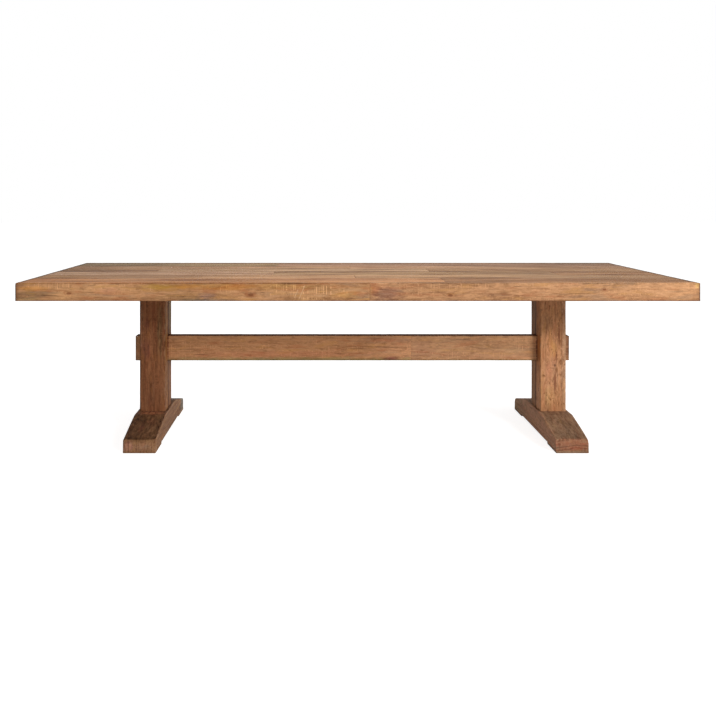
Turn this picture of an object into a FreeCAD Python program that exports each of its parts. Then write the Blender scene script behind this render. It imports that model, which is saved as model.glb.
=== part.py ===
# Trestle dining table in solid reclaimed teak: a thick-edged plank top on two post-and-sled
# trestles, tied by one through stretcher.
#
# Frame: X runs along the table, Y from the front edge to the rear edge, Z up. The origin is on
# the floor under the middle of the top. Every size is in millimetres.

import FreeCAD, Part
import math
import os

# ---------------------------------------------------------------- overall sizes
TABLE_LENGTH = 2900.0
TABLE_DEPTH = 1000.0
TABLE_HEIGHT = 772.0
TRESTLE_SPACING = 1920.0         # from one post's centre to the other's

# ---------------------------------------------------------------- top
EDGE_BOARD_HEIGHT = 77.0
EDGE_BOARD_THICKNESS = 45.0
EDGE_JOINT_X = 50.0              # butt joint in the front edge; the rear edge mirrors it
PLANK_THICKNESS = 30.0
PLANK_ROW_PROPORTIONS = (137.0, 150.0, 168.0, 155.0, 140.0, 160.0)   # front row first
END_RAIL_THICKNESS = 45.0
END_RAIL_TENON = 18.0            # length of the stub that enters the edge board
END_RAIL_SHOULDER = 12.0
END_RAIL_TONGUE_WIDTH = 12.0     # tongue along the rail's top, let into the planks
END_RAIL_TONGUE_HEIGHT = 8.0
BATTEN_WIDTH = 90.0
BATTEN_HEIGHT = 40.0
BATTEN_SPACING = 380.0
BATTEN_END_GAP = 6.0
DOVETAIL_NECK = 50.0             # width of a batten's dovetail where it leaves the batten
DOVETAIL_HEAD = 57.0
DOVETAIL_HEIGHT = 8.0
SPLINE_WIDTH = 24.0
SPLINE_THICKNESS = 8.0
SPLINE_END_INSET = 60.0          # the splines stop short of the ends, so that none shows

# ---------------------------------------------------------------- trestles
POST_WIDTH = 122.0
POST_DEPTH = 154.0               # two staves, one in front of the other
TENON_SHOULDER_X = 32.0
TENON_SHOULDER_Y = 20.0
MORTISE_FLOOR = 35.0             # wood left between a mortise and the far side of its beam
FOOT_LENGTH = 700.0
FOOT_WIDTH = 146.0
FOOT_HEIGHT = 110.0              # both heights are taken from the floor
FOOT_END_HEIGHT = 60.0
FOOT_SADDLE = 270.0              # level length on top of the foot, under the post
PAD_LENGTH = 130.0               # the foot stands on a pad at each end
PAD_THICKNESS = 10.0
HEAD_WIDTH = 146.0
HEAD_HEIGHT = 75.0
HEAD_END_HEIGHT = 45.0
HEAD_SADDLE = 270.0
HEAD_END_GAP = 25.0              # between the bearer's end and the edge board

# ---------------------------------------------------------------- stretcher
STRETCHER_HEIGHT = 120.0
STRETCHER_THICKNESS = 54.0
STRETCHER_BOTTOM = 342.0         # height above the floor
STRETCHER_PROJECTION = 32.5      # each end stands out past its post
LAP_FRONT_X = 285.0              # where the half-lap shows on the front face
LAP_LENGTH = 150.0

# ---------------------------------------------------------------- eased edges and fits
EASE = 2.0                       # flat along an outer arris
SEAM_EASE = 1.0                  # flat along an arris beside a seam
FIT = 0.3                        # play round a tenon or a housed piece
TENON_END_GAP = 2.0
HOLE_FIT = 0.1                   # radial play round a peg or screw
GROOVE_FIT = 0.1                 # play on each face of a spline
GROOVE_END_GAP = 0.5

# ---------------------------------------------------------------- pegs and hardware
PEG_RADIUS = 8.0
PEG_BLIND_DEPTH = 25.0           # how far a peg enters the front stave
LOOSE_TENON_LENGTH = 80.0        # across the butt joint of an edge board
LOOSE_TENON_THICKNESS = 12.0
LOOSE_TENON_HEIGHT = 30.0
LOOSE_TENON_BASE = 15.0          # above the underside of the edge board

LAG_RADIUS = 5.0
LAG_LENGTH = 110.0
LAG_SPACING = 50.0
LAG_HEAD_HEIGHT = 6.0
LAG_HEAD_FLATS = 17.0
LAG_POCKET_DEPTH = 10.0          # one milled pocket takes the heads of both lag screws
TOP_SCREW_RADIUS = 4.0
TOP_SCREW_GRIP = 30.0            # wood between the head and the planks
TOP_SCREW_BITE = 18.0            # depth in the planks
TOP_SCREW_HEAD_HEIGHT = 5.5
TOP_SCREW_HEAD_FLATS = 13.0
SOCKET_ROOM = 3.0                # room round a head's corners, for the socket
SCREWED_ROWS = (0, 1, 4, 5)      # plank rows that a head bearer is screwed to

# ---------------------------------------------------------------- places worked out from the sizes
HALF_LENGTH = TABLE_LENGTH / 2
HALF_DEPTH = TABLE_DEPTH / 2
EDGE_BOTTOM = TABLE_HEIGHT - EDGE_BOARD_HEIGHT
PLANK_BOTTOM = TABLE_HEIGHT - PLANK_THICKNESS
SPLINE_HEIGHT = TABLE_HEIGHT - PLANK_THICKNESS / 2
INNER_HALF_DEPTH = HALF_DEPTH - EDGE_BOARD_THICKNESS
HEAD_BOTTOM = PLANK_BOTTOM - HEAD_HEIGHT
TENON_HALF_WIDTH = POST_WIDTH / 2 - TENON_SHOULDER_X
TENON_HALF_DEPTH = POST_DEPTH / 2 - TENON_SHOULDER_Y
FOOT_MORTISE_BOTTOM = PAD_THICKNESS + MORTISE_FLOOR
HEAD_MORTISE_TOP = PLANK_BOTTOM - MORTISE_FLOOR
STRETCHER_TOP = STRETCHER_BOTTOM + STRETCHER_HEIGHT
STRETCHER_MIDDLE = STRETCHER_BOTTOM + STRETCHER_HEIGHT / 2
LAP_REAR_X = LAP_FRONT_X - LAP_LENGTH
FOOT_LAG_SEAT = PAD_THICKNESS + LAG_POCKET_DEPTH
HEAD_LAG_SEAT = PLANK_BOTTOM - LAG_POCKET_DEPTH
TOP_SCREW_SEAT = PLANK_BOTTOM - TOP_SCREW_GRIP

TRESTLES = {"left": -TRESTLE_SPACING / 2, "right": TRESTLE_SPACING / 2}
BATTENS = {"left": -BATTEN_SPACING, "middle": 0.0, "right": BATTEN_SPACING}

# Planks are butted over a batten or a head bearer, and neighbouring rows break joint.
ROW_JOINTS = (
    (BATTENS["right"],),
    (BATTENS["middle"],),
    (BATTENS["left"], TRESTLES["right"]),
    (TRESTLES["left"], BATTENS["right"]),
    (BATTENS["middle"],),
    (BATTENS["left"],),
)
PLANK_NAMES = {2: ("left", "right"), 3: ("left", "middle", "right")}

X_AXIS = FreeCAD.Vector(1, 0, 0)
Y_AXIS = FreeCAD.Vector(0, 1, 0)
Z_AXIS = FreeCAD.Vector(0, 0, 1)
PARALLEL = 0.99                  # cosine above which an edge counts as lying along an axis
TOUCHING = 0.01                  # distance below which a point counts as lying on a plane


# ---------------------------------------------------------------- helpers
def block(x_range, y_range, z_range):
    """Rectangular solid between two limits on each axis."""
    low = FreeCAD.Vector(x_range[0], y_range[0], z_range[0])
    return Part.makeBox(x_range[1] - low.x, y_range[1] - low.y, z_range[1] - low.z, low)


def rod(radius, start, direction, length):
    """Round solid of a given length that leaves start along direction."""
    return Part.makeCylinder(radius, length, start, direction)


def about(centre, half):
    """Limits that lie the same distance each side of a centre."""
    return (centre - half, centre + half)


def cut_all(solid, tools):
    """Solid with every tool cut out of it."""
    return solid.cut(Part.makeCompound(tools)) if tools else solid


def along(edge, axis):
    """True if a straight edge lies along an axis."""
    ends = [vertex.Point for vertex in edge.Vertexes]
    direction = (ends[1] - ends[0]).normalize()
    return abs(direction.dot(axis)) > PARALLEL


def middle(edge):
    """Middle of an edge's box."""
    return edge.BoundBox.Center


def eased(solid, width, wanted):
    """Solid with a narrow flat along every edge that wanted() picks."""
    return solid.makeChamfer(width, [edge for edge in solid.Edges if wanted(edge)])


def row_seams():
    """Y of every seam between rows, from the front edge board to the rear one."""
    share = 2 * INNER_HALF_DEPTH / sum(PLANK_ROW_PROPORTIONS)
    seams = [-INNER_HALF_DEPTH]
    for proportion in PLANK_ROW_PROPORTIONS:
        seams.append(seams[-1] + proportion * share)
    return seams


def row_middles():
    """Y of the middle of every plank row."""
    seams = row_seams()
    return [(front + rear) / 2 for front, rear in zip(seams, seams[1:])]


def spline_slot(seam_y, play, end_play):
    """Space of one spline, grown by the play on its faces and at its long edges."""
    half_length = HALF_LENGTH - SPLINE_END_INSET + end_play
    return block(
        about(0.0, half_length),
        about(seam_y, SPLINE_WIDTH / 2 + end_play),
        about(SPLINE_HEIGHT, SPLINE_THICKNESS / 2 + play),
    )


# ---------------------------------------------------------------- hardware
def head_radius(flats):
    """Radius of the circle through a hexagon's corners, from its width across flats."""
    return flats / math.sqrt(3)


def hex_prism(flats, height, base, direction):
    """Hexagonal head of a given width across flats."""
    corners = []
    for corner in range(7):
        angle = math.radians(60 * corner)
        corners.append(X_AXIS * head_radius(flats) * math.cos(angle)
                       + Y_AXIS * head_radius(flats) * math.sin(angle))
    head = Part.Face(Part.makePolygon(corners)).extrude(Z_AXIS * height)
    head.Placement = FreeCAD.Placement(base, FreeCAD.Rotation(Z_AXIS, direction))
    return head


def hex_fastener(radius, length, flats, head_height, seat, direction):
    """Hexagon-headed screw whose head bears on seat and whose shank runs along direction."""
    shank = rod(radius, seat, direction, length)
    head = hex_prism(flats, head_height, seat - direction * head_height, direction)
    return head.fuse(shank).removeSplitter().Solids[0]


def lag_places(trestle_x):
    """Seat and direction of the four lag screws of one trestle."""
    places = []
    for y in about(0.0, LAG_SPACING / 2):
        places.append((FreeCAD.Vector(trestle_x, y, FOOT_LAG_SEAT), Z_AXIS))
        places.append((FreeCAD.Vector(trestle_x, y, HEAD_LAG_SEAT), -Z_AXIS))
    return places


def lag_holes(trestle_x):
    """Shank holes of the four lag screws of one trestle."""
    return [rod(LAG_RADIUS + HOLE_FIT, seat, direction, LAG_LENGTH + HOLE_FIT)
            for seat, direction in lag_places(trestle_x)]


def lag_pocket(trestle_x, z_range):
    """Milled pocket that takes the heads of two lag screws side by side."""
    room = head_radius(LAG_HEAD_FLATS) + SOCKET_ROOM
    return block(about(trestle_x, room), about(0.0, LAG_SPACING / 2 + room), z_range)


def top_screw_seats(trestle_x):
    """Point on the seat of each screw that holds one head bearer to the top."""
    middles = row_middles()
    return [FreeCAD.Vector(trestle_x, middles[row], TOP_SCREW_SEAT) for row in SCREWED_ROWS]


def top_screw_holes(trestle_x):
    """Shank hole and counterbore of each screw that holds one head bearer to the top."""
    tools = []
    for seat in top_screw_seats(trestle_x):
        tools.append(rod(TOP_SCREW_RADIUS + HOLE_FIT, seat, Z_AXIS,
                         TOP_SCREW_GRIP + TOP_SCREW_BITE + HOLE_FIT))
        tools.append(rod(head_radius(TOP_SCREW_HEAD_FLATS) + SOCKET_ROOM, seat, -Z_AXIS,
                         HEAD_HEIGHT))
    return tools


def peg_rods(play):
    """Peg that locks the stretcher in each post, driven from the rear face, or its hole."""
    front_end = -STRETCHER_THICKNESS / 2 - PEG_BLIND_DEPTH - play
    return [rod(PEG_RADIUS + play, FreeCAD.Vector(trestle_x, front_end, STRETCHER_MIDDLE),
                Y_AXIS, POST_DEPTH / 2 - front_end) for trestle_x in TRESTLES.values()]


def loose_tenon(side, play):
    """Loose tenon across the butt joint of the front or rear edge, or its mortise."""
    board_middle = side * (HALF_DEPTH - EDGE_BOARD_THICKNESS / 2)
    base = EDGE_BOTTOM + LOOSE_TENON_BASE
    return block(about(-side * EDGE_JOINT_X, LOOSE_TENON_LENGTH / 2 + play),
                 about(board_middle, LOOSE_TENON_THICKNESS / 2 + play),
                 (base - play, base + LOOSE_TENON_HEIGHT + play))


# ---------------------------------------------------------------- top
def edge_boards():
    """Deep boards along the front and the rear, each in two butted lengths."""
    boards = {}
    for place, side in (("front", -1), ("rear", 1)):
        joint_x = -side * EDGE_JOINT_X
        y_range = sorted((side * INNER_HALF_DEPTH, side * HALF_DEPTH))
        tools = [loose_tenon(side, FIT)]
        tools.append(spline_slot(side * INNER_HALF_DEPTH, GROOVE_FIT, GROOVE_END_GAP))
        tools += [end_rail_tenon(end, side, FIT) for end in (-1, 1)]
        for name, x_range in (("left", (-HALF_LENGTH, joint_x)), ("right", (joint_x, HALF_LENGTH))):
            board = block(x_range, y_range, (EDGE_BOTTOM, TABLE_HEIGHT))
            board = eased(board, SEAM_EASE,
                          lambda edge: abs(middle(edge).y) < INNER_HALF_DEPTH + TOUCHING
                          or abs(middle(edge).x - joint_x) < TOUCHING)
            board = eased(board, EASE,
                          lambda edge: abs(abs(middle(edge).y) - HALF_DEPTH) < TOUCHING
                          and along(edge, X_AXIS))
            boards[f"{place}_edge_board_{name}"] = cut_all(board, tools)
    return boards


def end_rail_tenon(end, side, play):
    """Stub tenon at one end of an end rail, or the mortise that takes it."""
    rail_middle = end * (HALF_LENGTH - END_RAIL_THICKNESS / 2)
    shoulder = side * INNER_HALF_DEPTH
    tip = side * (INNER_HALF_DEPTH + END_RAIL_TENON + play)
    return block(
        about(rail_middle, END_RAIL_THICKNESS / 2 - END_RAIL_SHOULDER + play),
        sorted((shoulder, tip)),
        (EDGE_BOTTOM + END_RAIL_SHOULDER - play, PLANK_BOTTOM - END_RAIL_SHOULDER + play),
    )


def end_rail_tongue(end, play):
    """Tongue along the top of an end rail, or the groove that takes it."""
    rail_middle = end * (HALF_LENGTH - END_RAIL_THICKNESS / 2)
    return block(about(rail_middle, END_RAIL_TONGUE_WIDTH / 2 + play),
                 about(0.0, INNER_HALF_DEPTH),
                 (PLANK_BOTTOM, PLANK_BOTTOM + END_RAIL_TONGUE_HEIGHT + play))


def end_rails():
    """Rails under the ends of the planks, tongued into them and tenoned into the edge boards."""
    rails = {}
    for name, end in (("left", -1), ("right", 1)):
        x_range = sorted((end * (HALF_LENGTH - END_RAIL_THICKNESS), end * HALF_LENGTH))
        rail = block(x_range, about(0.0, INNER_HALF_DEPTH), (EDGE_BOTTOM, PLANK_BOTTOM))
        rail = eased(rail, SEAM_EASE,
                     lambda edge: along(edge, Y_AXIS)
                     and middle(edge).z < EDGE_BOTTOM + TOUCHING)
        tenons = [end_rail_tenon(end, side, 0.0) for side in (-1, 1)]
        rail = rail.fuse([end_rail_tongue(end, 0.0)] + tenons)
        rails[f"{name}_end_rail"] = rail.removeSplitter().Solids[0]
    return rails


def dovetail(batten_x, half_length, play):
    """Dovetail along the top of a batten, or the housing across the planks that takes it."""
    neck = DOVETAIL_NECK / 2 + play
    head = DOVETAIL_HEAD / 2 + play
    top = PLANK_BOTTOM + DOVETAIL_HEIGHT + play
    outline = [(-neck, PLANK_BOTTOM), (neck, PLANK_BOTTOM), (head, top), (-head, top),
               (-neck, PLANK_BOTTOM)]
    points = [FreeCAD.Vector(batten_x + x, -half_length, z) for x, z in outline]
    return Part.Face(Part.makePolygon(points)).extrude(Y_AXIS * 2 * half_length)


def planks():
    """Random-width planks between the edge boards, grooved for what ties them together."""
    pieces = {}
    seams = row_seams()
    tools = [spline_slot(seam, GROOVE_FIT, GROOVE_END_GAP) for seam in seams]
    tools += [dovetail(x, INNER_HALF_DEPTH, FIT) for x in BATTENS.values()]
    tools += [end_rail_tongue(end, FIT) for end in (-1, 1)]
    for trestle_x in TRESTLES.values():
        tools += top_screw_holes(trestle_x)
    for row, joints in enumerate(ROW_JOINTS):
        stops = [-HALF_LENGTH, *joints, HALF_LENGTH]
        names = PLANK_NAMES[len(stops) - 1]
        for name, start, stop in zip(names, stops, stops[1:]):
            plank = block((start, stop), (seams[row], seams[row + 1]),
                          (PLANK_BOTTOM, TABLE_HEIGHT))
            plank = eased(plank, SEAM_EASE,
                          lambda edge: middle(edge).z > TABLE_HEIGHT - TOUCHING)
            pieces[f"plank_row{row + 1}_{name}"] = cut_all(plank, tools)
    return pieces


def battens():
    """Cross battens between the trestles, each slid into its dovetail housing."""
    pieces = {}
    half_length = INNER_HALF_DEPTH - BATTEN_END_GAP
    for name, x in BATTENS.items():
        bar = block(about(x, BATTEN_WIDTH / 2), about(0.0, half_length),
                    (PLANK_BOTTOM - BATTEN_HEIGHT, PLANK_BOTTOM))
        bar = eased(bar, EASE,
                    lambda edge: middle(edge).z < PLANK_BOTTOM - BATTEN_HEIGHT + TOUCHING)
        bar = bar.fuse(dovetail(x, half_length, 0.0))
        pieces[f"{name}_batten"] = bar.removeSplitter().Solids[0]
    return pieces


# ---------------------------------------------------------------- trestles
def foot(trestle_x):
    """Sled foot: level under the post and sloping down to low blunt ends."""
    half = FOOT_LENGTH / 2
    saddle = FOOT_SADDLE / 2
    outline = [(-half, PAD_THICKNESS), (-half, FOOT_END_HEIGHT), (-saddle, FOOT_HEIGHT),
               (saddle, FOOT_HEIGHT), (half, FOOT_END_HEIGHT), (half, PAD_THICKNESS),
               (-half, PAD_THICKNESS)]
    beam = beam_from(outline, trestle_x, FOOT_WIDTH)
    beam = eased(beam, EASE, foot_arris)
    mortise = post_tenon(trestle_x, FIT, (FOOT_MORTISE_BOTTOM, FOOT_HEIGHT))
    pocket = lag_pocket(trestle_x, (PAD_THICKNESS, FOOT_LAG_SEAT))
    return cut_all(beam, [mortise, pocket] + lag_holes(trestle_x))


def foot_arris(edge):
    """True for the arrises of a foot that hands and shoes reach: its top and its ends."""
    centre = middle(edge)
    if along(edge, X_AXIS):
        return abs(centre.z - FOOT_END_HEIGHT) < TOUCHING
    return centre.z > PAD_THICKNESS + TOUCHING


def foot_pad(trestle_x, side):
    """Pad under the front or rear end of a foot, eased where it meets the floor."""
    outer = side * FOOT_LENGTH / 2
    inner = outer - side * PAD_LENGTH
    pad = block(about(trestle_x, FOOT_WIDTH / 2), sorted((inner, outer)), (0.0, PAD_THICKNESS))
    return eased(pad, EASE, lambda edge: middle(edge).z < PAD_THICKNESS - TOUCHING)


def beam_from(outline, trestle_x, width):
    """Beam across the table: an outline in Y and Z, extruded to a width about the post."""
    plane_x = trestle_x - width / 2
    points = [FreeCAD.Vector(plane_x, y, z) for y, z in outline]
    return Part.Face(Part.makePolygon(points)).extrude(X_AXIS * width)


def head_bearer(trestle_x):
    """Bearer under the planks: level over the post, rising to thin ends."""
    half = INNER_HALF_DEPTH - HEAD_END_GAP
    saddle = HEAD_SADDLE / 2
    end_bottom = PLANK_BOTTOM - HEAD_END_HEIGHT
    outline = [(-half, PLANK_BOTTOM), (-half, end_bottom), (-saddle, HEAD_BOTTOM),
               (saddle, HEAD_BOTTOM), (half, end_bottom), (half, PLANK_BOTTOM),
               (-half, PLANK_BOTTOM)]
    beam = beam_from(outline, trestle_x, HEAD_WIDTH)
    beam = eased(beam, EASE,
                 lambda edge: not along(edge, X_AXIS)
                 and middle(edge).z < PLANK_BOTTOM - TOUCHING)
    tools = [post_tenon(trestle_x, FIT, (HEAD_BOTTOM, HEAD_MORTISE_TOP)),
             lag_pocket(trestle_x, (HEAD_LAG_SEAT, PLANK_BOTTOM))]
    return cut_all(beam, tools + lag_holes(trestle_x) + top_screw_holes(trestle_x))


def post_tenon(trestle_x, play, z_range):
    """Tenon of a whole post between two heights, or its mortise when there is play."""
    return block(about(trestle_x, TENON_HALF_WIDTH + play),
                 about(0.0, TENON_HALF_DEPTH + play), z_range)


def post_stave(trestle_x, side):
    """Half of a post, housed round the stretcher and tenoned at both ends."""
    x_range = about(trestle_x, POST_WIDTH / 2)
    y_range = sorted((0.0, side * POST_DEPTH / 2))
    shaft = block(x_range, y_range, (FOOT_HEIGHT, HEAD_BOTTOM))
    shaft = eased(shaft, EASE,
                  lambda edge: along(edge, Z_AXIS) and abs(middle(edge).y) > TOUCHING)
    shaft = eased(shaft, SEAM_EASE,
                  lambda edge: along(edge, Z_AXIS) and abs(middle(edge).y) < TOUCHING)
    tenons = post_tenon(trestle_x, 0.0, (FOOT_MORTISE_BOTTOM + TENON_END_GAP,
                                         HEAD_MORTISE_TOP - TENON_END_GAP))
    half_tenons = tenons.common(block(x_range, y_range, (0.0, TABLE_HEIGHT)))
    stave = shaft.fuse(half_tenons).removeSplitter()
    housing = block(x_range, about(0.0, STRETCHER_THICKNESS / 2 + FIT),
                    (STRETCHER_BOTTOM, STRETCHER_TOP + FIT))
    return cut_all(stave, [housing] + lag_holes(trestle_x) + peg_rods(HOLE_FIT))


# ---------------------------------------------------------------- stretcher
def stretcher_length(side):
    """Left or right length of the stretcher, with its part of the half-lap."""
    end_x = side * (TRESTLE_SPACING / 2 + POST_WIDTH / 2 + STRETCHER_PROJECTION)
    half = STRETCHER_THICKNESS / 2
    z_range = (STRETCHER_BOTTOM, STRETCHER_TOP)
    front = block(sorted((LAP_FRONT_X, end_x)), (-half, 0.0), z_range)
    rear = block(sorted((LAP_REAR_X, end_x)), (0.0, half), z_range)
    bar = front.fuse(rear).removeSplitter()
    bar = eased(bar, EASE, lambda edge: abs(middle(edge).x - end_x) < TOUCHING)
    bar = eased(bar, SEAM_EASE,
                lambda edge: abs(middle(edge).y) > half - TOUCHING
                and abs(middle(edge).x - end_x) > EASE + TOUCHING)
    return cut_all(bar, peg_rods(HOLE_FIT))


# ---------------------------------------------------------------- the whole table
def table():
    """Every node's name with its solids."""
    nodes = {}
    nodes.update(edge_boards())
    nodes.update(end_rails())
    nodes.update(planks())
    nodes.update(battens())
    for name, trestle_x in TRESTLES.items():
        nodes[f"{name}_foot"] = foot(trestle_x)
        nodes[f"{name}_foot_front_pad"] = foot_pad(trestle_x, -1)
        nodes[f"{name}_foot_rear_pad"] = foot_pad(trestle_x, 1)
        nodes[f"{name}_post_front_stave"] = post_stave(trestle_x, -1)
        nodes[f"{name}_post_rear_stave"] = post_stave(trestle_x, 1)
        nodes[f"{name}_head_bearer"] = head_bearer(trestle_x)
    nodes["stretcher_left_length"] = stretcher_length(-1)
    nodes["stretcher_right_length"] = stretcher_length(1)

    lags = [place for x in TRESTLES.values() for place in lag_places(x)]
    seats = [seat for x in TRESTLES.values() for seat in top_screw_seats(x)]
    groups = {
        "plank_splines": [spline_slot(seam, 0.0, 0.0) for seam in row_seams()],
        "edge_loose_tenons": [loose_tenon(side, 0.0) for side in (-1, 1)],
        "stretcher_pegs": peg_rods(0.0),
        "lag_screws": [hex_fastener(LAG_RADIUS, LAG_LENGTH, LAG_HEAD_FLATS, LAG_HEAD_HEIGHT,
                                    *place) for place in lags],
        "top_screws": [hex_fastener(TOP_SCREW_RADIUS, TOP_SCREW_GRIP + TOP_SCREW_BITE,
                                    TOP_SCREW_HEAD_FLATS, TOP_SCREW_HEAD_HEIGHT, seat, Z_AXIS)
                       for seat in seats],
    }
    for name, solids in groups.items():
        nodes[name] = Part.makeCompound(solids)
    return nodes


def write_steps():
    """One STEP file per node, in parts/."""
    os.makedirs("parts", exist_ok=True)
    for name, shape in table().items():
        if not shape.isValid() or not shape.Solids:
            raise ValueError(f"{name} is not a valid solid")
        shape.exportStep(f"parts/{name}.step")
        print(f"{name}: {len(shape.Solids)} solid(s), {shape.Volume / 1e6:.3f} litres")


write_steps()
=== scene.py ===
# Looks of the trestle dining table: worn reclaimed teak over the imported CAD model.
#
# Frame: X runs along the table, Y from the front edge to the rear edge, Z up, in metres. Every
# wooden piece is the CAD node's own shape, cut finer and worn along its arrises, so that all
# joints stay as they are. Materials are procedural and follow each board's own grain.

import math
from functools import reduce
from itertools import combinations, product

import bmesh
import bpy
import numpy as np
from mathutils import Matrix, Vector


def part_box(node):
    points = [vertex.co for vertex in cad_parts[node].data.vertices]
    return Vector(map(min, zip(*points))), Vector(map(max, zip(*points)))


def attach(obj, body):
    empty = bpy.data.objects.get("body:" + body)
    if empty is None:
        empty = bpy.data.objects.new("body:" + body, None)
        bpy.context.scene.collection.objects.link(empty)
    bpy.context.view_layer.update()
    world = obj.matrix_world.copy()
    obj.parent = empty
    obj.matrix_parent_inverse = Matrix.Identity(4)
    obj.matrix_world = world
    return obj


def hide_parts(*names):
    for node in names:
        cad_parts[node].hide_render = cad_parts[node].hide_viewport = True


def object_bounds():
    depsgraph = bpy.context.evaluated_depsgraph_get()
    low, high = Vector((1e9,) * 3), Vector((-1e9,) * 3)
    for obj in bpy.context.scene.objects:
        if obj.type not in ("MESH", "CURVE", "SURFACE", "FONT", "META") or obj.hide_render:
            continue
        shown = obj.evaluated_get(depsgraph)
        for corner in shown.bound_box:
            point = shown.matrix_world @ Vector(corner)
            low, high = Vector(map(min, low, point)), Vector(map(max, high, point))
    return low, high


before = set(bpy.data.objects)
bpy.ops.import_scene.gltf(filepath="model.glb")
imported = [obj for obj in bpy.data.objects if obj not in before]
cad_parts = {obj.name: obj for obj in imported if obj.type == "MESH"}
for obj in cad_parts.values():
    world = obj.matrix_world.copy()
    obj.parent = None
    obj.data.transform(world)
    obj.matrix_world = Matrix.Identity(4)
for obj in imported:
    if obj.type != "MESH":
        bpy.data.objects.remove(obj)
CAD_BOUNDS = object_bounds()
MM = 0.001

# -------------------- camera
CAMERA_PLACE = (-0.17825, -3.68913, 1.13182)
CAMERA_LENS = 37.905
CAMERA_SENSOR = 36.0
CAMERA_SHIFT = (0.05916, -0.22352)

# -------------------- light and stage
WORLD_LEVEL = 0.4
KEY_AIM = (0.0, 0.0, 0.55)
KEY_PLACE = (4.6, -6.0, 3.55)
KEY_SIZE = 2.4
KEY_POWER = 400.0
TOP_PLACE = (0.2, -0.2, 4.2)
TOP_SIZE = (4.6, 2.6)
TOP_POWER = 62.0
FLOOR_SIZE = 60.0
FLOOR_COLOUR = (0.62, 0.62, 0.62, 1.0)
FLOOR_GLOW = 0.84  # what the camera sees of the floor before any light

# -------------------- wear of the arrises
WEAR_REACH = 14 * MM  # how far from an arris its wear shows in the colour
FACE_WAVE = 0.35 * MM  # hollows left by hand planing
SWELL = 0.45  # how unevenly an arris is worn, as a part of its radius
CHIP_FROM = 0.62  # level of the noise above which an open arris is chipped
CHIP_DEPTH = 4.5 * MM
UNDER_DARKENING = 9 * MM  # reach of the darkening on arrises that face the floor
# How far the mesh's cuts lie from a side, for each way of wear.
NEAR_OPEN = (0.7 * MM, 1.3 * MM, 3.2 * MM, 5.5 * MM, 9.0 * MM)
NEAR_SEAM = (0.5 * MM, 1.6 * MM, 4.0 * MM)
NEAR_JOINT = (0.5 * MM, 1.6 * MM, 5.0 * MM, 10.0 * MM)
NEAR_WIDE = (*NEAR_JOINT, 16.0 * MM)
NEAR_RIM = (*NEAR_OPEN, 15.0 * MM, 22.0 * MM)
SIDE_KINDS = {  # side: (radius of its arrises, reach of their dirt, cuts near it)
    "open": (3.2 * MM, 0.0, NEAR_OPEN),  # paled by hands and shoes
    "dark": (2.6 * MM, 13.0 * MM, NEAR_OPEN),  # worn, with dirt left in the grain
    "line": (2.6 * MM, 5.0 * MM, NEAR_OPEN),  # worn, with a thin line of dirt
    "rim": (2.2 * MM, 22.0 * MM, NEAR_RIM),  # worn and dirty, at the ends of the top
    "seam": (1.5 * MM, 4.0 * MM, NEAR_SEAM),  # beside a joint
    "joint": (1.5 * MM, 10.0 * MM, NEAR_JOINT),  # beside a joint that holds more dirt
    "wide": (1.5 * MM, 16.0 * MM, NEAR_WIDE),  # beside a joint that holds the most
    "tight": (0.6 * MM, 0.0, ()),  # against another piece
    None: (0.0, 0.0, ()),
}
OUTSIDE = ("open", "dark", "line", "rim")
ON_FACE = 0.05 * MM
END_WEAR = 0.12  # length over which arrises are worn more towards an end
SMOOTH_ANGLE = math.radians(33)


def linear(red, green, blue):
    """Linear colour, with alpha, from an sRGB colour of 0 to 255."""
    parts = []
    for part in (red, green, blue):
        part /= 255
        parts.append(part / 12.92 if part <= 0.04045 else ((part + 0.055) / 1.055) ** 2.4)
    return (*parts, 1.0)


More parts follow.
